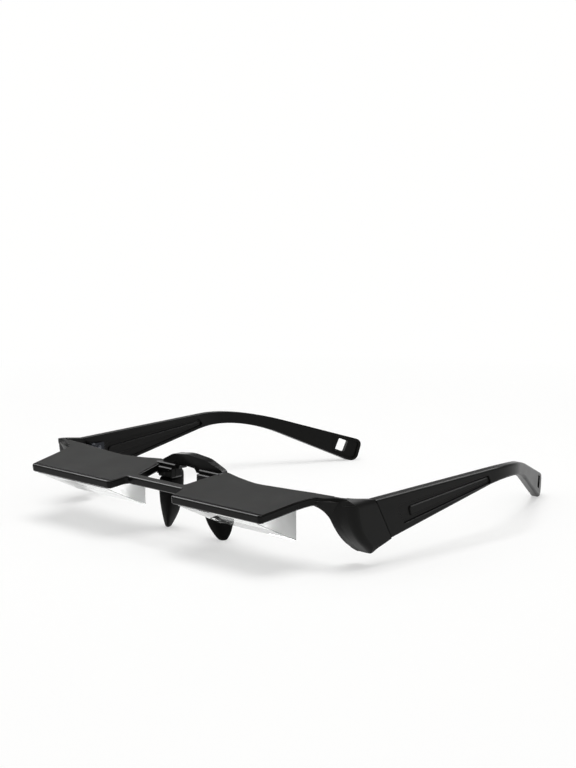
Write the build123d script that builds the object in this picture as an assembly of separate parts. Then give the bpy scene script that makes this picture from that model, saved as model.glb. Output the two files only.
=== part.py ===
from build123d import *

import os
from math import asin, atan2, cos, degrees, hypot, radians, sin, tan

# Prism glasses for reading while lying down: a black moulded front with two roof
# plates, a clear prism under each roof, two push-on nose pads and two temples that
# fold on small metal hinges. Lengths are in millimetres and angles in degrees.
# While it is drawn, Y is zero at the front edge of the roofs and Z is zero on the
# table. At the end every piece moves back so that Y is zero at the middle.

os.makedirs("parts", exist_ok=True)

# Whole object
frame_width = 160.4
front_height = 21.3
roof_tilt = 9.33
overrun = 6.0
hair = 0.02
side_share = 0.45

# Roof plate
plate_thickness = 3.0
upper_edge_radius = 0.7
under_edge_bevel = 0.45
roof_inner_x = 16.75
bay_width = 18.2
roof_depth = 26.5
corner_radius = 1.5
bar_front_y = 7.4
bar_depth = 3.7
nose_side_x = 12.3
nose_rear_x = 15.6
nose_lip = 1.1
# Each row holds shares of the way from nose_rear_x to the roof's side, of roof_depth and,
# for the radius, of roof_depth.
roof_side_shares = ((1.045, 0.64, 0.9),)
rear_edge_shares = (
    (1.0, 0.998, 1.2),
    (0.846, 0.968, 0.9),
    (0.439, 0.905, 1.1),
    (0.212, 0.98, 0.5),
    (0.061, 1.05, 0.08),
)
# Each row holds shares of the way from the roof's side to the temple's outer face, of
# roof_depth and of roof_depth.
bay_shares = ((0.2, 0.834, 0.12), (0.45, 0.88, 0.4), (0.64, 0.965, 0.25))

# End piece, the wall that carries the hinge at each side
side_wall = 3.3
brow_back = 0.9
end_front_step = 0.1
end_corner_radius = 4.0
inner_corner_radius = 5.5
shoulder_radius = 3.8
seam_step = 0.1
brow_reach = 10.2
brow_under_z = 20.7
brow_start_z = 22.8
brow_radius = 5.0
lobe_z = 3.65
lobe_back = 10.6
lobe_inner_radius = 5.2
lobe_outer_radius = 4.4
lobe_tail = 2.8
lobe_tail_z = 6.4
# Each row: share of front_height for the level, share of lobe_y for the lean there and
# how far the bay's curve is flattened out at that level.
lean_shares = (
    (0.94, 0.003, 0.15),
    (0.77, 0.025, 0.6),
    (0.563, 0.085, 0.85),
    (0.376, 0.182, 0.92),
    (0.12, 0.33, 0.92),
)

# Split between end piece and temple
split_back = 11.9
split_top_z = 23.8
split_run = 8.5
split_bottom_z = 8.7
split_gap = 0.35

# Temples
temple_thickness = 3.3
bend_start_y = 104.0
bend_radius = 45.5
bend_angle = 28.0
crest_y = 121.3
crest_z = 25.6
crest_radius = 100.0
hollow_y = 119.9
hollow_z = 22.8
hollow_radius = 59.0
tip_reach = 166.0
tip_radius = 2.8
tip_lean = 2.6
tip_height = 9.9
temple_outer_edge = 0.9
# Recesses: shares of the temple's straight length behind the split and of its height
outer_recess_depth = 0.7
inner_recess_depth = 0.8
bar_relief = 0.15
recess_bevel = 0.15
bar_bevel = 0.25
outer_recess_shares = (
    (0.16, 0.728, 0.1),
    (0.237, 0.277, 0.03),
    (0.964, 0.75, 0.05),
    (0.938, 0.945, 0.05),
)
outer_bar_shares = (
    (0.27, 0.649, 0.06),
    (0.29, 0.417, 0.03),
    (0.934, 0.805, 0.03),
    (0.938, 0.905, 0.03),
)
inner_recess_shares = (
    (0.16, 0.768, 0.13),
    (0.201, 0.112, 0.05),
    (0.972, 0.765, 0.03),
    (0.985, 0.835, 0.03),
    (0.955, 0.974, 0.06),
)
inner_bar_shares = (
    (0.193, 0.642, 0.08),
    (0.221, 0.377, 0.03),
    (0.954, 0.8, 0.02),
    (0.967, 0.833, 0.02),
    (0.946, 0.894, 0.03),
)
# Strap slot near the end of the temple
slot_length = 4.4
slot_height = 5.1
slot_back = 7.6
slot_radius = 0.5
dish_depth = 0.8
dish_rim = 1.0
dish_length = 14.0

# Prisms
prism_inner_margin = 2.75
prism_outer_margin = 2.6
prism_front_y = 1.4
prism_rear_margin = 6.0
prism_drop = 12.9
prism_edge = 0.4
prism_bevel = 0.3

# Nose bridge arch
arch_half_width = 16.6
arch_foot_z = 24.2
arch_rise = 6.4
arch_depth = 4.8
arch_ahead = 3.7
arch_sweep = 3.6
arch_opening_half = 4.9
arch_opening_rise = 1.9
arch_edge = 0.5
arch_rim = 1.0
arch_channel = 0.9
arch_lip_share = 0.8
arch_rear_sweep_share = 0.35
# Shares of the arch's half width, of its rise and, for the radius, of its rise
arch_outline_shares = ((0.96, 0.3, 0.25), (0.52, 0.82, 1.6))

# Clip boxes that hold the nose pads
clip_inner_x = 6.6
clip_ahead = 4.4
clip_depth = 5.3
clip_top_z = 24.4
clip_height = 3.8
clip_step = 1.3
clip_step_back = 1.5
clip_edge = 0.35
clip_front_share = 0.85
stem_x = 11.9
stem_back = 4.1
stem_width = 2.4
stem_depth = 3.2
stem_length = 8.5

# Nose pads
pad_gap = 0.2
pad_corner_share = 0.24
stem_corner_share = 0.3
pad_inner_x = 8.2
pad_width = 6.4
pad_step = 0.5
pad_depth = 8.2
# Each level: share of the pad's height, then four corners as shares of pad_width outward
# of pad_inner_x and of pad_depth behind pad_front_y, going round from the inner front
pad_level_shares = (
    (1.0, ((0.0, 0.0), (1.0, 0.0), (1.05, 0.66), (0.02, 0.68))),
    (0.82, ((0.03, 0.0), (1.05, 0.0), (1.2, 0.86), (0.06, 0.9))),
    (0.54, ((0.12, 0.02), (1.02, 0.04), (1.38, 0.98), (0.26, 1.02))),
    (0.3, ((0.33, 0.12), (1.1, 0.24), (1.5, 1.0), (0.58, 1.03))),
    (0.1, ((0.66, 0.32), (1.16, 0.42), (1.38, 0.84), (0.9, 0.88))),
    (0.0, ((0.92, 0.5), (1.18, 0.54), (1.24, 0.7), (0.98, 0.72))),
)

# Hinges
knuckle_radius = 1.5
hinge_back = 3.0
hinge_wall_gap = 0.3
barrel_bottom_z = 13.6
knuckle_height = 2.45
knuckle_gap = 0.1
leaf_thickness = 1.0
leaf_length = 5.0
leaf_near = 1.8
hinge_screw_radius = 0.6
hinge_head_radius = 1.1
hinge_head_height = 0.6
leaf_screw_radius = 0.5
leaf_head_radius = 0.85
leaf_head_height = 0.4
leaf_screw_bite = 2.0
screw_slot = 0.3

# Places worked out from the sizes above
half_width = frame_width / 2
roof_outer_x = half_width - bay_width
end_inner_x = half_width - brow_reach
brow_rear_y = roof_depth + brow_back
end_front_y = roof_depth - end_front_step
lobe_y = end_front_y + lobe_back
split_top_y = end_front_y + split_back
split_bottom_y = split_top_y + split_run
hinge_y = split_top_y + hinge_back
clip_front_y = roof_depth - clip_ahead
clip_rear_y = clip_front_y + clip_depth
pad_front_y = clip_front_y + pad_step
stem_y = clip_front_y + stem_back
arch_front_y = roof_depth - arch_ahead
slope = tan(radians(roof_tilt))
flatten = cos(radians(roof_tilt))
end_inner_face_x = half_width - side_wall
temple_inner_x = half_width - temple_thickness
hinge_x = min(end_inner_face_x, temple_inner_x) - hinge_wall_gap - knuckle_radius
barrel_height = 3 * knuckle_height + 2 * knuckle_gap
split_lean = (split_bottom_y - split_top_y) / (split_top_z - split_bottom_z)
pad_top_z = clip_top_z - clip_height - pad_gap


def roof_top(y):
    """Height of the roofs' upper face at a distance y behind their front edge."""
    return front_height + slope * y


def roof_under(y):
    """Height of the roofs' lower face."""
    return roof_top(y) - plate_thickness / flatten


def split_y(z):
    """Where the split between end piece and temple lies at the height z."""
    return split_bottom_y - split_lean * (z - split_bottom_z)


def rounded_face(corners):
    """Flat face in the XY plane from corners (x, y, radius), taken in order."""
    count = len(corners)
    bends = []
    for i, (x, y, radius) in enumerate(corners):
        here = Vector(x, y)
        back = Vector(*corners[i - 1][:2]) - here
        ahead = Vector(*corners[(i + 1) % count][:2]) - here
        half_turn = radians(back.get_angle(ahead)) / 2
        reach = min(radius / tan(half_turn), back.length * side_share, ahead.length * side_share)
        back, ahead = back.normalized(), ahead.normalized()
        drop = reach * tan(half_turn) * (1 / sin(half_turn) - 1)
        apex = here + (back + ahead).normalized() * drop
        bends.append((here + back * reach, apex, here + ahead * reach, reach))
    edges = []
    for i, (start, apex, end, reach) in enumerate(bends):
        edges.append(Edge.make_line(bends[i - 1][2], start))
        if reach > 0:
            edges.append(Edge.make_three_point_arc(start, apex, end))
    return Face(Wire(edges))


def along_x(corners, low, high):
    """Solid with an outline in (y, z, radius) that runs from x = low to x = high."""
    side = Plane(origin=(low, 0, 0), x_dir=(0, 1, 0), z_dir=(1, 0, 0))
    return extrude(side * rounded_face(corners), high - low, dir=(1, 0, 0))


def along_y(corners, low, high):
    """Solid with an outline in (x, z, radius) that runs from y = low to y = high."""
    front = Plane(origin=(0, low, 0), x_dir=(1, 0, 0), z_dir=(0, -1, 0))
    return extrude(front * rounded_face(corners), high - low, dir=(0, 1, 0))


def along_z(corners, low, high):
    """Solid with an outline in (x, y, radius) that runs from z = low to z = high."""
    return extrude(Pos(0, 0, low) * rounded_face(corners), high - low, dir=(0, 0, 1))


def block(low, high):
    """Plain block between two opposite corners."""
    size = [b - a for a, b in zip(low, high)]
    return Pos(*low) * Box(*size, align=(Align.MIN, Align.MIN, Align.MIN))


def rod(radius, length, place, direction):
    """Round bar that starts at a place and runs along a direction."""
    bar = Cylinder(radius, length, align=(Align.CENTER, Align.CENTER, Align.MIN))
    return Plane(origin=place, z_dir=direction) * bar


def across(corners):
    """Closed outline from its right half, which is listed from front to back."""
    return list(corners) + [(-x, y, radius) for x, y, radius in reversed(corners)]


def other_side(piece):
    """The same piece on the left of the frame."""
    return mirror(piece, about=Plane.YZ)


def roof_corner(a, b, c):
    """Corner of the roof's side or rear edge from a row of shares."""
    return nose_rear_x + (roof_outer_x - nose_rear_x) * a, roof_depth * b, roof_depth * c


def bay_corners():
    """Right bay between the roof's side and the outer face, at the roof's upper face."""
    reach = half_width - roof_outer_x
    rows = [(roof_outer_x + reach * a, roof_depth * b, roof_depth * c) for a, b, c in bay_shares]
    return rows + [(half_width, end_front_y, end_corner_radius)]


def roof_plate():
    """Both roofs and the bar between them, one plate that rises towards the face."""
    right = [(roof_inner_x - corner_radius, bar_front_y, corner_radius)]
    right += [(roof_inner_x, 0, corner_radius), (roof_outer_x, 0, corner_radius)]
    right += [roof_corner(*row) for row in roof_side_shares] + bay_corners()
    end_y = brow_rear_y + inner_corner_radius + corner_radius
    right += [(half_width, end_y, 0), (end_inner_face_x, end_y, 0)]
    right += [(end_inner_face_x, brow_rear_y, inner_corner_radius)]
    right += [roof_corner(*row) for row in rear_edge_shares]
    right += [(nose_rear_x, roof_depth + nose_lip, corner_radius)]
    right += [(nose_side_x, bar_front_y + bar_depth, corner_radius)]
    outline = [(x, y / flatten, radius) for x, y, radius in across(right)]
    plate = extrude(rounded_face(outline), plate_thickness, dir=(0, 0, -1))
    plate = fillet(plate.faces().sort_by(Axis.Z)[-1].edges(), upper_edge_radius)
    plate = chamfer(plate.faces().sort_by(Axis.Z)[0].edges(), under_edge_bevel)
    upward = (0, -sin(radians(roof_tilt)), flatten)
    return Plane(origin=(0, 0, front_height), x_dir=(1, 0, 0), z_dir=upward) * plate


def leaning_wall():
    """Right brow and side wall, an angle in plan that leans back as it goes down."""
    start_x = roof_outer_x - plate_thickness
    rear_y = brow_rear_y / flatten**2 - seam_step
    far_y = split_bottom_y + overrun
    top_z = roof_top(roof_depth) + overrun
    levels = [(top_z, slope * (front_height - top_z), 0)]
    levels += [(front_height * a, lobe_y * b, flat) for a, b, flat in lean_shares]
    sections = []
    for z, lean, flat in levels:
        plan = [(start_x, bay_corners()[0][1] + corner_radius, 0)]
        for x, y, radius in bay_corners()[1:]:
            front_y = y + (end_front_y - y) * flat
            plan.append((x, front_y / flatten**2 + seam_step, radius))
        plan += [(half_width, far_y, 0), (end_inner_face_x, far_y, 0)]
        plan.append((end_inner_face_x, rear_y, inner_corner_radius))
        plan.append((start_x, rear_y - corner_radius, 0))
        sections.append(Pos(0, lean, z) * rounded_face(plan))
    return loft(sections)


def end_piece():
    """Right brow and the lobed wall behind it that ends at the split."""
    top_z = roof_top(roof_depth) + overrun / 2
    under_top = roof_top(roof_depth) - upper_edge_radius - seam_step
    side = [
        (0, roof_under(0), 0),
        (roof_depth, under_top, 0),
        (brow_rear_y + corner_radius, under_top, 0),
        (brow_rear_y + 2 * corner_radius, top_z, 0),
        (split_y(top_z), top_z, 0),
        (split_bottom_y, split_bottom_z, 0),
        (lobe_y + lobe_tail, lobe_tail_z, lobe_outer_radius),
        (lobe_y, lobe_z - seam_step, corner_radius),
        (0, lobe_z - seam_step, 0),
    ]
    front = [
        (roof_outer_x - plate_thickness, brow_start_z, 0),
        (end_inner_x, brow_under_z, brow_radius),
        (end_inner_x, lobe_z, lobe_inner_radius),
        (half_width, lobe_z, lobe_outer_radius),
        (half_width, top_z, 0),
        (roof_outer_x - plate_thickness, top_z, 0),
    ]
    wall = leaning_wall()
    wall &= along_y(front, 0, split_bottom_y + overrun)
    wall &= along_x(side, 0, half_width + overrun)
    return wall


def crest_cutter():
    """What is taken off above the end pieces, whose tops fall from the roof to the split."""
    high = roof_top(roof_depth) + overrun
    fall = [
        (split_top_y, split_top_z, 0),
        (roof_depth, roof_top(roof_depth), roof_depth),
        (roof_depth - overrun, roof_top(roof_depth - overrun) + hair, 0),
        (roof_depth - overrun, high, 0),
        (split_bottom_y, high, 0),
        (split_bottom_y, split_top_z - slope * (split_bottom_y - split_top_y), 0),
    ]
    return along_x(fall, end_inner_face_x - inner_corner_radius, half_width + overrun)


def shoulder_cutter():
    """What is taken off to round the upper outer edge of the right end piece."""
    top_z = roof_top(end_front_y)
    far = half_width + overrun
    keep = [
        (0, 0, 0),
        (half_width, 0, 0),
        (half_width, top_z, shoulder_radius),
        (0, top_z, 0),
    ]
    zone = block(
        (half_width - shoulder_radius, 0, top_z - shoulder_radius),
        (far, split_bottom_y + overrun, top_z + overrun),
    )
    return zone - along_y(keep, -overrun, split_bottom_y + 2 * overrun)


def arch_outline():
    """Front view of the nose arch, feet and opening, as corners (x, z, radius)."""
    lip_x = arch_opening_half - arch_opening_rise / 2
    lip_z = arch_foot_z + arch_opening_rise * arch_lip_share
    outer = [(arch_half_width, arch_foot_z, arch_edge)]
    for a, b, c in arch_outline_shares:
        outer.append((arch_half_width * a, arch_foot_z + arch_rise * b, arch_rise * c))
    inner = [(arch_opening_half, arch_foot_z, arch_edge), (lip_x, lip_z, arch_opening_rise / 2)]
    mirrored = [(-x, z, radius) for x, z, radius in reversed(outer)]
    mirrored += [(-x, z, radius) for x, z, radius in inner]
    crown = [(0, arch_foot_z + arch_rise, arch_half_width)]
    soffit = [(0, arch_foot_z + arch_opening_rise, arch_half_width / 2)]
    return outer + crown + mirrored + soffit + inner[::-1]


def arch_band(front_inset, depth):
    """Plan view of the arch, swept back from its middle to its feet, as a tall solid."""
    front_y = arch_front_y + front_inset
    far = arch_half_width + overrun
    back = arch_sweep * far / arch_half_width
    rear_y = front_y + depth
    side_front_y = front_y + back
    side_rear_y = rear_y + back * arch_rear_sweep_share
    plan = [
        (0, front_y, arch_half_width * 2),
        (far, side_front_y, 0),
        (far, side_rear_y, 0),
        (0, rear_y, arch_half_width * 2),
        (-far, side_rear_y, 0),
        (-far, side_front_y, 0),
    ]
    return along_z(plan, arch_foot_z - overrun, arch_foot_z + arch_rise + overrun)


def nose_arch():
    """Arch over the nose between the two roofs, with a sunk channel in its front."""
    far_y = arch_front_y + arch_depth + arch_sweep + overrun
    arch = along_y(arch_outline(), 0, far_y) & arch_band(0, arch_depth)
    sunk = offset(rounded_face(arch_outline()), -arch_rim)
    front = Plane(origin=(0, 0, 0), x_dir=(1, 0, 0), z_dir=(0, -1, 0))
    channel = extrude(front * sunk, far_y, dir=(0, 1, 0))
    return arch - (channel & arch_band(-overrun, overrun + arch_channel))


def clip_box():
    """Right socket under the arch's foot, with its step and the stem inside the pad."""
    root_x = nose_rear_x + corner_radius
    front_x = clip_inner_x + (nose_rear_x - clip_inner_x) * clip_front_share
    low_z = clip_top_z - clip_height
    box = block((clip_inner_x, clip_front_y, low_z), (front_x, clip_rear_y, clip_top_z))
    box = chamfer(box.edges(), clip_edge)
    step_x = clip_inner_x - clip_edge
    step_y = clip_front_y + clip_step_back
    step = block((step_x, step_y, low_z + clip_edge), (root_x, clip_rear_y, clip_top_z + clip_step))
    step = chamfer(step.edges(), clip_edge)
    stem_low = (stem_x - stem_width / 2, stem_y - stem_depth / 2, low_z - stem_length)
    stem_high = (stem_x + stem_width / 2, stem_y + stem_depth / 2, low_z + clip_edge)
    stem = block(stem_low, stem_high)
    stem = chamfer(stem.edges().filter_by(Axis.Z), stem_width * stem_corner_share)
    return box + step + stem


def screw_places():
    """Centres (y, z) of the two screws in each hinge leaf, measured from the hinge axis."""
    rise = barrel_height / 4
    y = leaf_near + leaf_length / 2
    z = barrel_bottom_z + barrel_height / 2
    return [(y, z - rise), (y, z + rise)]


def leaf_seat(side, margin):
    """Space of a right hinge leaf's plate: side is -1 in front of the axis and 1 behind it."""
    low_z, high_z = barrel_bottom_z - margin, barrel_bottom_z + barrel_height + margin
    near, far = leaf_near - margin, leaf_near + leaf_length + margin
    y_low, y_high = sorted((hinge_y + side * near, hinge_y + side * far))
    x_high = end_inner_face_x if side < 0 else temple_inner_x
    return block((x_high - leaf_thickness - margin * 2, y_low, low_z), (x_high, y_high, high_z))


def screw_holes(side):
    """Holes for a right leaf's two screws, through the leaf and into the wall."""
    x_high = end_inner_face_x if side < 0 else temple_inner_x
    length = leaf_thickness + leaf_screw_bite + hair
    holes = []
    for y, z in screw_places():
        place = (x_high - leaf_thickness, hinge_y + side * y, z)
        holes.append(rod(leaf_screw_radius + hair, length, place, (1, 0, 0)))
    return holes


def front_frame():
    """The whole black front as moulded in one shot."""
    right = end_piece()
    frame = roof_plate() + right + other_side(right)
    for cutter in (crest_cutter(), shoulder_cutter()):
        frame = frame - cutter - other_side(cutter)
    frame = frame + nose_arch()
    clip = clip_box()
    frame = frame + clip + other_side(clip)
    for cutter in (leaf_seat(-1, hinge_wall_gap), *screw_holes(-1)):
        frame = frame - cutter - other_side(cutter)
    return frame


def prism():
    """Right prism: a clear three-sided bar whose upper face is stuck under the roof."""
    rear_y = roof_depth - prism_rear_margin
    side = [
        (prism_front_y, roof_under(prism_front_y), 0),
        (rear_y, roof_under(rear_y), 0),
        (rear_y, roof_under(rear_y) - prism_drop, 0),
        (prism_front_y, roof_under(prism_front_y) - prism_edge, 0),
    ]
    bar = along_x(side, roof_inner_x + prism_inner_margin, roof_outer_x - prism_outer_margin)
    sharp = bar.edges().filter_by(Axis.X).sort_by(Axis.Z)[0]
    return chamfer(sharp, prism_bevel)


def nose_pad():
    """Right nose pad: a leaf that leans outward to its tip, with a pocket for the stem."""
    levels = []
    for height, corners in pad_level_shares:
        points = [Vector(pad_inner_x + pad_width * a, pad_front_y + pad_depth * b) for a, b in corners]
        outline = []
        for i, here in enumerate(points):
            for other in (points[i - 1], points[(i + 1) % len(points)]):
                outline.append((*(here + (other - here) * pad_corner_share), 0))
        outline = [(x, y, radius) for x, y, _, radius in outline]
        levels.append(Pos(0, 0, pad_top_z * height) * rounded_face(outline))
    pad = loft(levels)
    low_z = clip_top_z - clip_height - stem_length
    pocket = block(
        (stem_x - stem_width / 2 - hair, stem_y - stem_depth / 2 - hair, low_z - pad_gap),
        (stem_x + stem_width / 2 + hair, stem_y + stem_depth / 2 + hair, pad_top_z + overrun),
    )
    return pad - pocket


def tip_corners():
    """The temple's two end corners in side view, so that the round heel stands on Z zero."""
    run, fall = tip_reach - hollow_y, hollow_z - tip_radius
    angle = atan2(-fall, run) - asin(tip_radius / hypot(run, fall))
    back = Vector(-cos(angle), -sin(angle))
    up = Vector(tip_lean, tip_height).normalized()
    half_turn = radians(back.get_angle(up)) / 2
    heel = Vector(tip_reach, tip_radius) - (back + up).normalized() * (tip_radius / sin(half_turn))
    return heel, heel + Vector(tip_lean, tip_height)


def temple_side():
    """Side view of a temple, from the split over the ear to the round end."""
    heel, toe = tip_corners()
    return [
        (split_top_y + split_gap, split_top_z, 0),
        (crest_y, crest_z, crest_radius),
        (toe.X, toe.Y, tip_radius),
        (heel.X, heel.Y, tip_radius),
        (hollow_y, hollow_z, hollow_radius),
        (split_bottom_y + split_gap, split_bottom_z, 0),
    ]


def temple_plan():
    """Top view of the right temple, straight and then turned in behind the ear."""
    turn = radians(bend_angle)
    knee_y = bend_start_y + bend_radius * tan(turn / 2)
    run = tip_reach
    far_x, far_y = half_width - run * sin(turn), knee_y + run * cos(turn)
    thick = temple_thickness
    return [
        (half_width, 0, 0),
        (half_width, knee_y, bend_radius),
        (far_x, far_y, 0),
        (far_x - thick * cos(turn), far_y - thick * sin(turn), 0),
        (temple_inner_x, knee_y - thick * tan(turn / 2), bend_radius - thick),
        (temple_inner_x, 0, 0),
    ]


def recess(rows, low, high):
    """Recess or bar on a temple's flat side, from rows of shares."""
    run, rise = bend_start_y - split_top_y, split_top_z - split_bottom_z
    corners = [(split_top_y + run * a, split_bottom_z + rise * b, rise * c) for a, b, c in rows]
    return along_x(corners, low, high)


def bevelled(body, cut, x, bevel):
    """The body with a bevel round a recess's mouth or a bar's edge, which lies at x."""
    box = cut.bounding_box()
    rim = []
    for edge in body.edges():
        span = edge.bounding_box()
        inside = box.min.Y - hair < span.min.Y and span.max.Y < box.max.Y + hair
        inside = inside and box.min.Z - hair < span.min.Z and span.max.Z < box.max.Z + hair
        if inside and abs(span.min.X - x) < hair and abs(span.max.X - x) < hair:
            rim.append(edge)
    return chamfer(rim, bevel)


def tip_plane():
    """Inner face of the right temple behind the bend: X runs back along it and Z outward."""
    turn = radians(bend_angle)
    inner = bend_radius - temple_thickness
    centre_x = half_width - bend_radius
    start = (centre_x + inner * cos(turn), bend_start_y + inner * sin(turn), 0)
    return Plane(origin=start, x_dir=(-sin(turn), cos(turn), 0), z_dir=(cos(turn), sin(turn), 0))


def strap_slot():
    """Slot for a head strap, square to the turned end and in line with it."""
    heel, toe = tip_corners()
    end = (heel + toe) / 2
    fall = atan2(-(crest_z - end.Y), end.X - crest_y)
    place = end + Vector(-cos(fall), -sin(fall)) * slot_back
    turn = radians(bend_angle)
    along = (place.X - tip_plane().origin.Y) / cos(turn)
    slot = Pos(along, place.Y, 0) * Rot(0, 0, degrees(fall) * cos(turn)) * RectangleRounded(
        slot_length, slot_height, slot_radius
    )
    return extrude(tip_plane() * slot, temple_thickness + overrun, dir=tip_plane().z_dir, both=True)


def strap_dish():
    """Shallow dish round the strap slot on the temple's inner face."""
    heel, toe = tip_corners()
    turn = radians(bend_angle)
    inside = offset(rounded_face(temple_side()), -dish_rim)
    side = Plane(origin=(0, 0, 0), x_dir=(0, 1, 0), z_dir=(1, 0, 0))
    deep = extrude(side * inside, half_width, dir=(1, 0, 0))
    far = (toe.X - tip_plane().origin.Y) / cos(turn)
    zone = Pos(far, 0, -overrun) * Box(
        dish_length * 2,
        crest_z * 2,
        overrun + dish_depth,
        align=(Align.CENTER, Align.CENTER, Align.MIN),
    )
    return deep & (tip_plane() * zone)


def temple():
    """Right temple with its recesses, raised bars, strap slot and dish."""
    body = along_z(temple_plan(), -overrun, crest_z + overrun)
    body &= along_x(temple_side(), 0, half_width + overrun)
    front_y = split_bottom_y + split_gap + hair
    long_edges = [edge for edge in body.edges() if edge.bounding_box().max.Y > front_y]
    outer = [edge for edge in long_edges if is_outer(edge)]
    body = fillet(outer, temple_outer_edge)
    floor = half_width - outer_recess_depth
    cut = recess(outer_recess_shares, floor, half_width + overrun)
    body = bevelled(body - cut, cut, half_width, recess_bevel)
    bar = recess(outer_bar_shares, floor - hair, half_width - bar_relief)
    body += bevelled(bar, bar, half_width - bar_relief, bar_bevel)
    floor = temple_inner_x + inner_recess_depth
    cut = recess(inner_recess_shares, temple_inner_x - overrun, floor)
    body = bevelled(body - cut, cut, temple_inner_x, recess_bevel)
    bar = recess(inner_bar_shares, temple_inner_x + bar_relief, floor + hair)
    body += bevelled(bar, bar, temple_inner_x + bar_relief, bar_bevel)
    body = body - strap_dish() - strap_slot()
    for cutter in screw_holes(1):
        body -= cutter
    return body


def is_outer(edge):
    """Whether an edge of the right temple lies on its outer face."""
    turn = radians(bend_angle)
    point = edge @ 0.5
    centre = Vector(half_width - bend_radius, bend_start_y)
    if point.Y < bend_start_y:
        return abs(point.X - half_width) < hair
    reach = Vector(point.X, point.Y) - centre
    if atan2(reach.Y, reach.X) < turn:
        return abs(reach.length - bend_radius) < hair
    return abs(reach.dot(Vector(cos(turn), sin(turn))) - bend_radius) < hair


def leaf(side, places):
    """Right hinge leaf: a plate on the wall, its barrels and the necks that join them."""
    x_high = end_inner_face_x if side < 0 else temple_inner_x
    plate = leaf_seat(side, 0)
    for place in places:
        low = barrel_bottom_z + place * (knuckle_height + knuckle_gap)
        y_low, y_high = sorted((hinge_y, hinge_y + side * (leaf_near + hair)))
        far_x = hinge_x + knuckle_radius
        neck = block((far_x - leaf_thickness, y_low, low), (far_x, y_high, low + knuckle_height))
        barrel = rod(knuckle_radius, knuckle_height, (hinge_x, hinge_y, low), (0, 0, 1))
        plate = plate + barrel + neck
    bore_foot = (hinge_x, hinge_y, barrel_bottom_z - overrun)
    plate -= rod(hinge_screw_radius + hair, barrel_height + 2 * overrun, bore_foot, (0, 0, 1))
    for cutter in screw_holes(side):
        plate -= cutter
    return plate


def hinge_screw():
    """Right hinge screw, whose shank is the hinge pin."""
    top_z = barrel_bottom_z + barrel_height
    shank = rod(hinge_screw_radius, barrel_height, (hinge_x, hinge_y, barrel_bottom_z), (0, 0, 1))
    head = rod(hinge_head_radius, hinge_head_height, (hinge_x, hinge_y, top_z), (0, 0, 1))
    slot_low = (hinge_x - hinge_head_radius, hinge_y - screw_slot / 2, top_z + hinge_head_height / 2)
    slot_high = (hinge_x + hinge_head_radius, hinge_y + screw_slot / 2, top_z + overrun)
    return shank + head - block(slot_low, slot_high)


def leaf_screws(side):
    """The two screws that hold a right leaf, as separate solids."""
    x_high = end_inner_face_x if side < 0 else temple_inner_x
    outer_x = x_high - leaf_thickness
    screws = []
    for y, z in screw_places():
        place = (outer_x, hinge_y + side * y, z)
        shank = rod(leaf_screw_radius, leaf_thickness + leaf_screw_bite, place, (1, 0, 0))
        head = rod(leaf_head_radius, leaf_head_height, place, (-1, 0, 0))
        low = (outer_x - overrun, place[1] - leaf_head_radius, z - screw_slot / 2)
        high = (outer_x - leaf_head_height / 2, place[1] + leaf_head_radius, z + screw_slot / 2)
        screws.append(shank + head - block(low, high))
    return Compound(children=screws)


right_pieces = {
    "prism": prism(),
    "nose_pad": nose_pad(),
    "temple": temple(),
    "hinge_frame_leaf": leaf(-1, (0, 2)),
    "hinge_temple_leaf": leaf(1, (1,)),
    "hinge_screw": hinge_screw(),
    "frame_leaf_screws": leaf_screws(-1),
    "temple_leaf_screws": leaf_screws(1),
}
pieces = {"front_frame": front_frame()}
for name, piece in right_pieces.items():
    pieces[name + "_right"] = piece
    pieces[name + "_left"] = other_side(piece)

# The origin comes under the middle of the open frame, on the table
front_y = pieces["front_frame"].bounding_box().min.Y
rear_y = pieces["temple_right"].bounding_box().max.Y
centred = Pos(0, -(front_y + rear_y) / 2, 0)
for name, piece in pieces.items():
    export_step(centred * piece, "parts/" + name + ".step")
print("length", round(rear_y - front_y, 3), "moved back by", round((front_y + rear_y) / 2, 3))
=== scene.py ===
import math

import bmesh
import bpy
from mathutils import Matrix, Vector


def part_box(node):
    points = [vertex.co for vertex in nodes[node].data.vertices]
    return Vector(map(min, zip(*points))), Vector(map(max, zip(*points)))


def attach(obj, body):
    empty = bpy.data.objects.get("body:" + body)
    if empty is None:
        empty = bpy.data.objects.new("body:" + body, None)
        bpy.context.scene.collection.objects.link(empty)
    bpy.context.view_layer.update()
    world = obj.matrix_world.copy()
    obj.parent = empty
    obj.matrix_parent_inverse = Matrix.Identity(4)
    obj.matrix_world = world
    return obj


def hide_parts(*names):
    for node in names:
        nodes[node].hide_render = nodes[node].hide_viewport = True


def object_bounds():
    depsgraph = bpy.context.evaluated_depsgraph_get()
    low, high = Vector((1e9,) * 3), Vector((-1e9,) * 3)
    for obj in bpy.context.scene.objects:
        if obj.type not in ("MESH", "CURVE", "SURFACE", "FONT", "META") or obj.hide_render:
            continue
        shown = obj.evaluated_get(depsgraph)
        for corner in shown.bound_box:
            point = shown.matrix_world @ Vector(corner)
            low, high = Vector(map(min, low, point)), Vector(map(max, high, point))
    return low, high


# Prism glasses for reading while lying down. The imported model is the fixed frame, so its
# rigid mouldings and hinge leaves keep their shapes and get their real finishes here. The
# clear prisms, the soft nose pads and the small screws are rebuilt in more detail.
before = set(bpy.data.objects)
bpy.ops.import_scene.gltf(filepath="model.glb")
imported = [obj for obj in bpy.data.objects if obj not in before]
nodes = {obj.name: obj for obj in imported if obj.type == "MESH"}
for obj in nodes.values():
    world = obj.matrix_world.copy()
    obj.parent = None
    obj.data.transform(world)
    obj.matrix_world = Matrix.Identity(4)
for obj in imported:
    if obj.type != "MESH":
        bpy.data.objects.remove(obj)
cad_box = [list(corner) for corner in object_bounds()]


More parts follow.
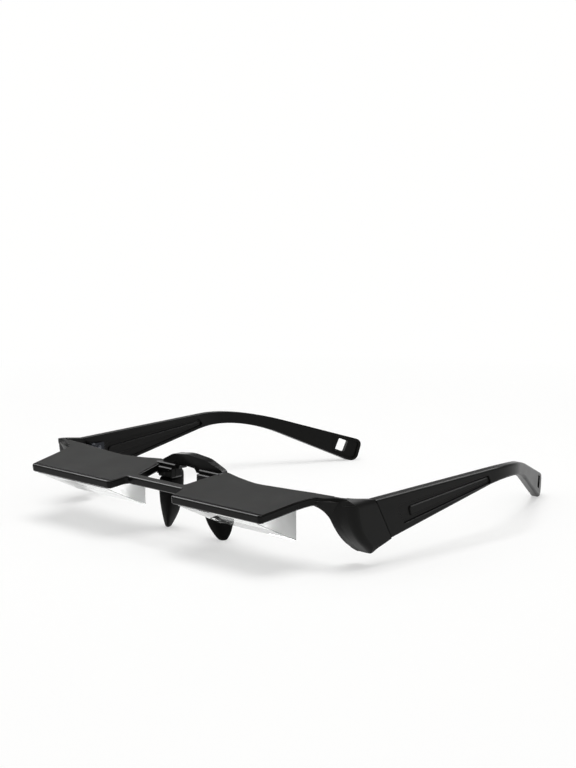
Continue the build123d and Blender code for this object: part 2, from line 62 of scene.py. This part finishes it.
# Front frame. One black moulding in a tough nylon-like plastic: roofs, bar, nose arch,
# clip boxes, brows and end pieces. The mould's large upper faces are spark-eroded to a fine
# satin grain, and the edges, sides and undersides are left smoother and glossier. The upper
# faces' lighter colour is partly that grain and partly painted sheen, and a darker band
# along the roofs' front edges is painted shade of a rounder edge.
def new_material(name):
    """A node material with its node tree and its Principled shader."""
    material = bpy.data.materials.new(name)
    material.use_nodes = True
    tree = material.node_tree
    return material, tree, tree.nodes["Principled BSDF"]


def add(tree, kind, settings=(), values=()):
    """A shader node with its properties and its unlinked input values."""
    node = tree.nodes.new(kind)
    for key, value in dict(settings).items():
        setattr(node, key, value)
    for key, value in dict(values).items():
        node.inputs[key].default_value = value
    return node


def spot_of(tree, stretch=(1.0, 1.0, 1.0)):
    """The piece's own coordinates, scaled along its axes."""
    place = add(tree, "ShaderNodeTexCoord")
    mapping = add(tree, "ShaderNodeMapping", values={"Scale": stretch})
    tree.links.new(place.outputs["Object"], mapping.inputs["Vector"])
    return mapping.outputs["Vector"]


def split(tree, vector):
    """The X, Y and Z outputs of a vector output."""
    parts = add(tree, "ShaderNodeSeparateXYZ")
    tree.links.new(vector, parts.inputs["Vector"])
    return parts.outputs


def calculate(tree, operation, *terms):
    """The result of a math operation on number outputs."""
    node = add(tree, "ShaderNodeMath", {"operation": operation})
    for term, socket in zip(terms, node.inputs):
        tree.links.new(term, socket)
    return node.outputs["Value"]


def noise(tree, spot, scale, detail=3.0, roughness=0.5):
    """Noise over a piece's coordinates, in grains to the metre."""
    values = {"Scale": scale, "Detail": detail, "Roughness": roughness}
    node = add(tree, "ShaderNodeTexNoise", values=values)
    tree.links.new(spot, node.inputs["Vector"])
    return node.outputs["Fac"]


def remap(tree, fac, low, high, start, end):
    """A factor stretched from low..high to start..end, and clamped."""
    values = {"From Min": low, "From Max": high, "To Min": start, "To Max": end}
    node = add(tree, "ShaderNodeMapRange", values=values)
    tree.links.new(fac, node.inputs["Value"])
    return node.outputs["Result"]


def mix_values(tree, fac, first, second):
    """Blend of two numbers or number outputs by a factor."""
    node = add(tree, "ShaderNodeMix", {"data_type": "FLOAT"})
    tree.links.new(fac, node.inputs["Factor"])
    for socket, value in (("A", first), ("B", second)):
        if isinstance(value, float):
            node.inputs[socket].default_value = value
        else:
            tree.links.new(value, node.inputs[socket])
    return node.outputs["Result"]


def mix_colours(tree, fac, first, second):
    """Blend of two colours or colour outputs by a factor."""
    node = add(tree, "ShaderNodeMix", {"data_type": "RGBA"})
    tree.links.new(fac, node.inputs["Factor"])
    sockets = [s for s in node.inputs if s.type == "RGBA"]
    for socket, value in zip(sockets, (first, second)):
        if isinstance(value, tuple):
            socket.default_value = (*value, 1.0)
        else:
            tree.links.new(value, socket)
    return [s for s in node.outputs if s.type == "RGBA"][0]


def facing(tree, direction, low, high):
    """1 where the piece's own surface faces a direction closely, 0 where it turns away."""
    place = add(tree, "ShaderNodeTexCoord")
    product = add(tree, "ShaderNodeVectorMath", {"operation": "DOT_PRODUCT"})
    tree.links.new(place.outputs["Normal"], product.inputs[0])
    product.inputs[1].default_value = direction
    return remap(tree, product.outputs["Value"], low, high, 0.0, 1.0)


def bump(tree, shader, height, strength, distance):
    """Relief on a shader's normal, with its depth in metres."""
    node = add(tree, "ShaderNodeBump", values={"Distance": distance})
    if isinstance(strength, float):
        node.inputs["Strength"].default_value = strength
    else:
        tree.links.new(strength, node.inputs["Strength"])
    tree.links.new(height, node.inputs["Height"])
    tree.links.new(node.outputs["Normal"], shader.inputs["Normal"])


def dress(material, *names):
    """Gives CAD nodes one material in each of their slots."""
    for name in names:
        node = nodes[name]
        if not node.material_slots:
            node.data.materials.append(material)
        for slot in node.material_slots:
            slot.material = material


roof_tilt = math.radians(9.33)
roof_normal = (0.0, -math.sin(roof_tilt), math.cos(roof_tilt))
# The satin, with its partly painted sheen, fades in as a face turns to the roofs' own
# slant, given as cosines, and stops short of the roofs' front edges, given in metres behind
# them, so that a band of painted edge shade runs along them.
satin_slants = (0.988, 0.998)
painted_edge_shade_band = (0.0017, 0.0020)
# The satin colours are lighter than the smooth ones partly for the grain and partly as
# painted sheen on the lit upper faces.
smooth_dark, smooth_pale = (0.0030, 0.0030, 0.0028), (0.0048, 0.0048, 0.0045)
satin_painted_sheen_dark, satin_painted_sheen_pale = (0.0195, 0.0195, 0.0187), (0.029, 0.029, 0.0278)
# The end pieces, which lie this far out from the middle, are duller than the other sides.
end_piece_reach = (0.066, 0.069)
end_piece_roughness = 0.38

front_black, tree, shader = new_material("moulded_black_front")
spot = spot_of(tree)
position = split(tree, spot)
slant = facing(tree, roof_normal, *satin_slants)
# Along the roofs' front edges the satin stops, and the darker smooth colour there is
# painted shade of a rounder edge.
painted_shade_band_y = [cad_box[0][1] + distance for distance in painted_edge_shade_band]
clear_of_painted_shade = remap(tree, position["Y"], *painted_shade_band_y, 0.0, 1.0)
satin_and_painted_sheen = calculate(tree, "MULTIPLY", slant, clear_of_painted_shade)
grain = noise(tree, spot, 2600.0, roughness=0.6)
cloud = noise(tree, spot, 70.0)
handling = noise(tree, spot, 300.0, roughness=0.6)
smooth_colour = mix_colours(tree, cloud, smooth_dark, smooth_pale)
satin_painted_sheen_colour = mix_colours(tree, grain, satin_painted_sheen_dark, satin_painted_sheen_pale)
colour = mix_colours(tree, satin_and_painted_sheen, smooth_colour, satin_painted_sheen_colour)
tree.links.new(colour, shader.inputs["Base Color"])
outward = calculate(tree, "ABSOLUTE", position["X"])
end_piece = remap(tree, outward, *end_piece_reach, 0.0, 1.0)
gloss = remap(tree, handling, 0.3, 0.75, 0.16, 0.22)
gloss = mix_values(tree, end_piece, gloss, end_piece_roughness)
dull = remap(tree, cloud, 0.3, 0.7, 0.6, 0.68)
tree.links.new(mix_values(tree, satin_and_painted_sheen, gloss, dull), shader.inputs["Roughness"])
bump(tree, shader, grain, mix_values(tree, satin_and_painted_sheen, 0.04, 0.3), 0.00002)
shader.inputs["Specular IOR Level"].default_value = 0.12
dress(front_black, "front_frame")


# Prisms. Each is a clear bar of cast acrylic, three-sided with a blunt nose. Its long faces
# are polished, its sawn ends finely ground and its edges broken. A mirror film on the upper
# face sticks it under the roof, and the film's thickness is left free there.
def millimetres(*values):
    """Lengths in metres from millimetres."""
    return tuple(value / 1000 for value in values)


def tint(tree, shader, pattern, dark, pale):
    """Base colour that a pattern varies between two colours."""
    tree.links.new(mix_colours(tree, pattern, dark, pale), shader.inputs["Base Color"])


def roughen(tree, shader, pattern, smooth, rough):
    """Roughness that a pattern's middle range varies between two values."""
    roughness = remap(tree, pattern, 0.3, 0.7, smooth, rough)
    tree.links.new(roughness, shader.inputs["Roughness"])


def put_in_scene(name, data):
    """A new object in the scene for a mesh, a lamp or a camera."""
    item = bpy.data.objects.new(name, data)
    bpy.context.scene.collection.objects.link(item)
    return item


def mesh_of(name, shape):
    """The mesh of a bmesh, with its faces turned outwards. The bmesh is freed."""
    bmesh.ops.recalc_face_normals(shape, faces=shape.faces[:])
    mesh = bpy.data.meshes.new(name)
    shape.to_mesh(mesh)
    shape.free()
    return mesh


def finish_piece(name, mesh, body, slot, *replaced):
    """Puts a finished mesh on a body, in place of the CAD nodes that it stands for."""
    piece = put_in_scene(name, mesh)
    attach(piece, body)
    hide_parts(*replaced)


acrylic_ior = 1.49

prism_clear, tree, shader = new_material("polished_clear_prism")
streak = noise(tree, spot_of(tree), 260.0)
tint(tree, shader, streak, (0.955, 0.965, 0.96), (0.985, 0.99, 0.985))
roughen(tree, shader, streak, 0.0, 0.02)
bump(tree, shader, streak, 0.03, 0.00002)
shader.inputs["Transmission Weight"].default_value = 1.0
shader.inputs["IOR"].default_value = acrylic_ior

prism_ground, tree, shader = new_material("ground_prism_end")
saw = noise(tree, spot_of(tree, (1.0, 0.2, 1.0)), 2400.0)
tint(tree, shader, saw, (0.94, 0.95, 0.94), (0.985, 0.99, 0.985))
roughen(tree, shader, saw, 0.44, 0.56)
bump(tree, shader, saw, 0.1, 0.00001)
shader.inputs["Transmission Weight"].default_value = 0.72
shader.inputs["IOR"].default_value = acrylic_ior

prism_film, tree, shader = new_material("mirror_film")
ripple = noise(tree, spot_of(tree), 180.0)
tint(tree, shader, ripple, (0.84, 0.85, 0.85), (0.89, 0.9, 0.9))
roughen(tree, shader, ripple, 0.03, 0.08)
bump(tree, shader, ripple, 0.05, 0.00002)
shader.inputs["Metallic"].default_value = 1.0

prism_low, prism_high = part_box("prism_right")
film_gap, edge_break, nose_height = millimetres(0.04, 0.18, 0.4)
front_y, rear_y, top = prism_low[1], prism_high[1], prism_high[2] - film_gap
nose_top = top - math.tan(roof_tilt) * (rear_y - front_y)
prism_profile = [
    (front_y, nose_top),
    (rear_y, top),
    (rear_y, prism_low[2]),
    (front_y, nose_top - nose_height),
]
clear_slot, ground_slot, film_slot = 0, 1, 2
for side, name in ((1, "prism_right"), (-1, "prism_left")):
    shape = bmesh.new()
    ends = [
        [shape.verts.new((side * x, y, z)) for y, z in prism_profile]
        for x in (prism_low[0], prism_high[0])
    ]
    walls = [
        shape.faces.new([ends[0][i - 1], ends[0][i], ends[1][i], ends[1][i - 1]])
        for i in range(len(prism_profile))
    ]
    # The wall from the nose's top to the rear's top lies under the roof.
    walls[1].material_index = film_slot
    for end in ends:
        shape.faces.new(end).material_index = ground_slot
    bmesh.ops.bevel(
        shape,
        geom=shape.edges[:],
        offset=edge_break,
        offset_type="OFFSET",
        segments=2,
        profile=0.5,
        affect="EDGES",
        material=clear_slot,
    )
    mesh = mesh_of(name + "_polished", shape)
    for material in (prism_clear, prism_ground, prism_film):
        mesh.materials.append(material)
    finish_piece(name + "_polished", mesh, "front", "clear_prism", name)


# Nose pads. Soft black silicone leaves pushed up over the stems under the clip boxes, with
# a rounded rim, a flat face to the nose and a blunt tip that the frame stands on. They are
# built here as smooth bodies. The skin is dull, with fine flow marks down the pad.
pad_inner_x, pad_front_y = millimetres(8.2, -62.384)
pad_width, pad_depth, pad_top = millimetres(6.4, 8.2, 20.4)
# Share of the pad's height, then its corners as shares of its width and depth
pad_levels = (
    (1.0, ((0.1, 0.08), (0.92, 0.08), (0.97, 0.86), (0.12, 0.88))),
    (0.97, ((0.0, 0.0), (1.0, 0.0), (1.08, 0.92), (0.02, 0.95))),
    (0.82, ((0.02, 0.0), (1.06, 0.0), (1.21, 0.95), (0.05, 0.98))),
    (0.54, ((0.11, 0.01), (1.04, 0.03), (1.39, 1.0), (0.25, 1.03))),
    (0.3, ((0.32, 0.11), (1.12, 0.23), (1.5, 1.01), (0.57, 1.04))),
    (0.13, ((0.6, 0.28), (1.16, 0.38), (1.41, 0.88), (0.84, 0.92))),
    (0.03, ((0.82, 0.42), (1.17, 0.48), (1.28, 0.76), (0.97, 0.8))),
    (0.0, ((0.92, 0.5), (1.13, 0.53), (1.2, 0.69), (1.0, 0.71))),
)
pad_points = 16
pad_squareness = 4.0
# The smoothing draws the outline in, so it is drawn this much larger.
pad_swell = 1.1
pad_smoothing = 2
# The pad's upper half rises behind the stem, from this share of its depth on.
pad_rise = 0.0028
rise_from, rise_over = 0.62, 0.2

pad_black, tree, shader = new_material("soft_black_silicone")
flow = noise(tree, spot_of(tree, (1.0, 1.0, 0.25)), 900.0)
dust = noise(tree, spot_of(tree), 2600.0, detail=2.0, roughness=0.6)
tint(tree, shader, dust, (0.0014, 0.0014, 0.0013), (0.0030, 0.0030, 0.0028))
roughen(tree, shader, flow, 0.38, 0.46)
bump(tree, shader, flow, 0.12, 0.00003)
shader.inputs["Specular IOR Level"].default_value = 0.05


def pad_ring(shape, side, level, corners):
    """One loop round a pad, a rounded four-sided outline at a share of its height."""
    ring = []
    for step in range(pad_points):
        turn = 2 * math.pi * (step + 0.5) / pad_points
        u, v = (
            0.5 + 0.5 * pad_swell * math.copysign(abs(wave) ** (2 / pad_squareness), wave)
            for wave in (math.cos(turn), math.sin(turn))
        )
        near = [a + (b - a) * u for a, b in zip(corners[0], corners[1])]
        far = [a + (b - a) * u for a, b in zip(corners[3], corners[2])]
        across, behind = (a + (b - a) * v for a, b in zip(near, far))
        rise = max(0, level * 2 - 1) * min(1, max(0, behind - rise_from) / rise_over)
        x = side * (pad_inner_x + pad_width * across)
        y = pad_front_y + pad_depth * behind
        ring.append(shape.verts.new((x, y, pad_top * level + pad_rise * rise)))
    return ring


def applied_mesh(holder):
    """The mesh of an object with its modifiers applied. The object is removed."""
    graph = bpy.context.evaluated_depsgraph_get()
    mesh = bpy.data.meshes.new_from_object(holder.evaluated_get(graph))
    bpy.data.objects.remove(holder)
    return mesh


for side, name in ((1, "nose_pad_right"), (-1, "nose_pad_left")):
    shape = bmesh.new()
    rings = [pad_ring(shape, side, level, corners) for level, corners in pad_levels]
    for upper, lower in zip(rings, rings[1:]):
        for i in range(pad_points):
            shape.faces.new([upper[i - 1], upper[i], lower[i], lower[i - 1]])
    shape.faces.new(rings[0])
    shape.faces.new(rings[-1])
    cage = put_in_scene(name + "_cage", mesh_of(name + "_cage", shape))
    rounding = cage.modifiers.new("rounding", "SUBSURF")
    rounding.levels = pad_smoothing
    rounding.render_levels = pad_smoothing
    mesh = applied_mesh(cage)
    mesh.shade_smooth()
    # The smoothing lifts the tip, so the pad is stretched back down to the table.
    lowest = min(vertex.co.z for vertex in mesh.vertices)
    for vertex in mesh.vertices:
        vertex.co.z -= lowest * (1 - vertex.co.z / pad_top)
    mesh.materials.append(pad_black)
    finish_piece(name + "_leaf", mesh, "front", "black_silicone", name)


# Temples. Black mouldings like the front, with a soft gloss on their sides. A sunk panel
# with a raised bar lightens each side, and the end has a slot for a head strap.
temple_black, tree, shader = new_material("moulded_black_temple")
grain = noise(tree, spot_of(tree), 3200.0, roughness=0.6)
wipe = noise(tree, spot_of(tree, (1.0, 0.3, 1.0)), 120.0, roughness=0.6)
tint(tree, shader, wipe, (0.0048, 0.0048, 0.0045), (0.0072, 0.0072, 0.0068))
roughen(tree, shader, wipe, 0.27, 0.33)
bump(tree, shader, grain, 0.08, 0.00002)
shader.inputs["Specular IOR Level"].default_value = 0.09
dress(temple_black, "temple_right", "temple_left")


# Hinge leaves. Stamped from steel strip, with barrels that turn on the hinge screw, and
# blackened in an oxide bath. The strip's rolling marks run along each leaf.
leaf_oxide, tree, shader = new_material("oxide_black_leaf")
rolled = noise(tree, spot_of(tree, (1.0, 0.08, 1.0)), 7000.0, detail=2.0)
tarnish = noise(tree, spot_of(tree), 700.0)
tint(tree, shader, tarnish, (0.014, 0.015, 0.018), (0.04, 0.043, 0.05))
roughen(tree, shader, rolled, 0.34, 0.48)
bump(tree, shader, rolled, 0.2, 0.00001)
shader.inputs["Metallic"].default_value = 0.9
dress(leaf_oxide, *[name for name in nodes if "leaf_right" in name or "leaf_left" in name])


# Screws. Turned from steel bar with the lathe's rings on the heads. The hinge screws stand
# upright in the barrels. A pair of short screws holds each leaf to its wall: their domed
# slotted heads are one turned part, set on eight points by Geometry Nodes.
screw_steel, tree, shader = new_material("turned_steel_screw")
spot = spot_of(tree)
turned = noise(tree, spot, 6000.0, detail=2.0)
stain = noise(tree, spot, 1500.0)
tint(tree, shader, stain, (0.09, 0.095, 0.105), (0.2, 0.21, 0.23))
roughen(tree, shader, turned, 0.2, 0.34)
bump(tree, shader, turned, 0.15, 0.000008)
shader.inputs["Metallic"].default_value = 1.0
dress(screw_steel, "hinge_screw_right", "hinge_screw_left")

head_radius, head_height, head_slot = millimetres(0.85, 0.4, 0.3)
shank_radius, shank_length = millimetres(0.5, 2.8)
head_sides = 24
# Radius and height of each ring, from the shank's end to the top of the dome
screw_profile = (
    (shank_radius * 0.96, -shank_length),
    (shank_radius * 0.96, 0.0),
    (head_radius * 0.94, 0.0),
    (head_radius, head_height * 0.15),
    (head_radius * 0.96, head_height * 0.45),
    (head_radius * 0.8, head_height * 0.75),
    (head_radius * 0.5, head_height * 0.94),
    (head_radius * 0.18, head_height),
)
shape = bmesh.new()
rings = [
    [
        shape.verts.new((radius * math.cos(turn), radius * math.sin(turn), height))
        for turn in (2 * math.pi * step / head_sides for step in range(head_sides))
    ]
    for radius, height in screw_profile
]
for low, high in zip(rings, rings[1:]):
    for i in range(head_sides):
        shape.faces.new([low[i - 1], low[i], high[i], high[i - 1]])
shape.faces.new(rings[0])
shape.faces.new(rings[-1])
blank = put_in_scene("screw_blank", mesh_of("screw_blank", shape))

shape = bmesh.new()
bmesh.ops.create_cube(shape, size=1.0)
bmesh.ops.scale(shape, vec=(head_radius * 3, head_slot, head_height), verts=shape.verts[:])
bmesh.ops.translate(shape, vec=(0, 0, head_height), verts=shape.verts[:])
cutter = put_in_scene("slot_cutter", mesh_of("slot_cutter", shape))
cut = blank.modifiers.new("slot", "BOOLEAN")
cut.operation = "DIFFERENCE"
cut.solver = "EXACT"
cut.object = cutter
screw = put_in_scene("leaf_screw", applied_mesh(blank))
bpy.data.objects.remove(cutter)

group = bpy.data.node_groups.new("screws_on_points", "GeometryNodeTree")
inputs = {
    name: group.interface.new_socket(name, in_out="INPUT", socket_type=kind)
    for name, kind in (
        ("Points", "NodeSocketGeometry"),
        ("Screw", "NodeSocketObject"),
        ("Turn", "NodeSocketVector"),
        ("Finish", "NodeSocketMaterial"),
    )
}
group.interface.new_socket("Screws", in_out="OUTPUT", socket_type="NodeSocketGeometry")
start = group.nodes.new("NodeGroupInput")
info = group.nodes.new("GeometryNodeObjectInfo")
scatter = group.nodes.new("GeometryNodeInstanceOnPoints")
real = group.nodes.new("GeometryNodeRealizeInstances")
paint = group.nodes.new("GeometryNodeSetMaterial")
end = group.nodes.new("NodeGroupOutput")
group.links.new(start.outputs["Points"], scatter.inputs["Points"])
group.links.new(start.outputs["Screw"], info.inputs["Object"])
group.links.new(info.outputs["Geometry"], scatter.inputs["Instance"])
group.links.new(start.outputs["Turn"], scatter.inputs["Rotation"])
group.links.new(scatter.outputs["Instances"], real.inputs["Geometry"])
group.links.new(real.outputs["Geometry"], paint.inputs["Geometry"])
group.links.new(start.outputs["Finish"], paint.inputs["Material"])
group.links.new(paint.outputs["Geometry"], end.inputs["Screws"])

screw_x, frame_screw_y, temple_screw_y = millimetres(75.9, -47.984, -39.384)
screw_levels = millimetres(15.4625, 19.2375)
for side, label in ((1, "right"), (-1, "left")):
    for node, y, body in (
        ("frame_leaf_screws_" + label, frame_screw_y, "front"),
        ("temple_leaf_screws_" + label, temple_screw_y, "temple_arm_" + label),
    ):
        points = bpy.data.meshes.new(node + "_points")
        points.from_pydata([(side * screw_x, y, z) for z in screw_levels], [], [])
        holder = put_in_scene(node + "_points", points)
        modifier = holder.modifiers.new("screws", "NODES")
        modifier.node_group = group
        modifier[inputs["Screw"].identifier] = screw
        modifier[inputs["Turn"].identifier] = (0.0, -side * math.pi / 2, 0.0)
        modifier[inputs["Finish"].identifier] = screw_steel
        mesh = applied_mesh(holder)
        finish_piece(node + "_turned", mesh, body, "screw_steel", node)
bpy.data.objects.remove(screw)


# Floor. A white photographic sweep under the glasses. It takes their soft shadow near them
# and fades to plain bright paper further out, so that the picture's background is white.
floor_half = 6.0
paper_white = (1.0, 1.0, 0.995, 1.0)
# Distances from the middle between which the paper's own light rises to its full share
fade_from, fade_to = 0.16, 0.4
near_share = 0.5

floor_white, tree, shader = new_material("white_paper_floor")
fibre = noise(tree, spot_of(tree), 900.0)
tint(tree, shader, fibre, (0.965, 0.965, 0.96), (0.975, 0.975, 0.97))
shader.inputs["Roughness"].default_value = 0.9
shader.inputs["Specular IOR Level"].default_value = 0.0
away = add(tree, "ShaderNodeVectorMath", {"operation": "LENGTH"})
tree.links.new(spot_of(tree), away.inputs[0])
fade = remap(tree, away.outputs["Value"], fade_from, fade_to, near_share, 1.0)
paper = add(tree, "ShaderNodeEmission", values={"Color": paper_white, "Strength": 1.0})
blend = add(tree, "ShaderNodeMixShader")
tree.links.new(fade, blend.inputs["Fac"])
tree.links.new(shader.outputs["BSDF"], blend.inputs[1])
tree.links.new(paper.outputs["Emission"], blend.inputs[2])
tree.links.new(blend.outputs["Shader"], tree.nodes["Material Output"].inputs["Surface"])
mesh = bpy.data.meshes.new("floor")
mesh.from_pydata(
    [(x * floor_half, y * floor_half, 0) for x, y in ((-1, -1), (1, -1), (1, 1), (-1, 1))],
    [],
    [(0, 1, 2, 3)],
)
mesh.materials.append(floor_white)
floor = put_in_scene("floor", mesh)


# Studio. A soft overhead box and two long strips, at the left and behind, in a surround
# that is white at the horizon and grey above. The strips are there for reflections alone:
# they draw the light line along each upper edge.
def softbox(name, place, width, depth, power):
    """An area lamp at a place, turned towards the middle of the floor."""
    light = bpy.data.lights.new(name, "AREA")
    light.shape = "RECTANGLE"
    light.size = width
    light.size_y = depth
    light.energy = power
    lamp = put_in_scene(name, light)
    lamp.location = place
    lamp.rotation_euler = (-Vector(place)).to_track_quat("-Z", "Y").to_euler()
    return lamp


overhead_side, overhead_power = 0.6, 6.0
strip_length, strip_width, strip_power = 1.2, 0.3, 11.0
softbox("overhead_softbox", (0.0, 0.0, 1.0), overhead_side, overhead_side, overhead_power)
for name, place in (
    ("left_softbox", (-1.0, -0.05, 0.95)),
    ("rear_softbox", (0.15, 1.0, 0.95)),
):
    strip = softbox(name, place, strip_length, strip_width, strip_power)
    strip.visible_diffuse = False

# Slopes of a reflected ray between which the surround goes from white to grey
white_to, grey_from, grey = 0.06, 0.24, 0.22
fill_light = 0.5

world = bpy.data.worlds.new("studio_surround")
world.use_nodes = True
bpy.context.scene.world = world
tree = world.node_tree
surround = tree.nodes["Background"]
surround.inputs["Color"].default_value = paper_white
path = add(tree, "ShaderNodeLightPath").outputs
heading = add(tree, "ShaderNodeTexCoord").outputs["Generated"]
walls = remap(tree, split(tree, heading)["Z"], white_to, grey_from, 1.0, grey)
lit = mix_values(tree, path["Is Glossy Ray"], fill_light, walls)
seen = calculate(tree, "MAXIMUM", path["Is Camera Ray"], path["Is Transmission Ray"])
tree.links.new(mix_values(tree, seen, lit, 1.0), surround.inputs["Strength"])


# Camera. It stands in front of the right-hand end, a little above the table, with the long
# lens that the picture was taken with.
camera_data = bpy.data.cameras.new("camera")
camera_data.lens = 93.75
camera_data.sensor_width = 36.0
camera_data.sensor_fit = "AUTO"
camera_data.clip_start = 0.01
camera = put_in_scene("camera", camera_data)
camera.location = (0.5317, -0.5470, 0.1776)
camera.rotation_euler = (math.radians(90 - 9.548), 0.0, math.radians(44.634))
bpy.context.scene.camera = camera

bpy.context.scene.view_settings.view_transform = "Standard"
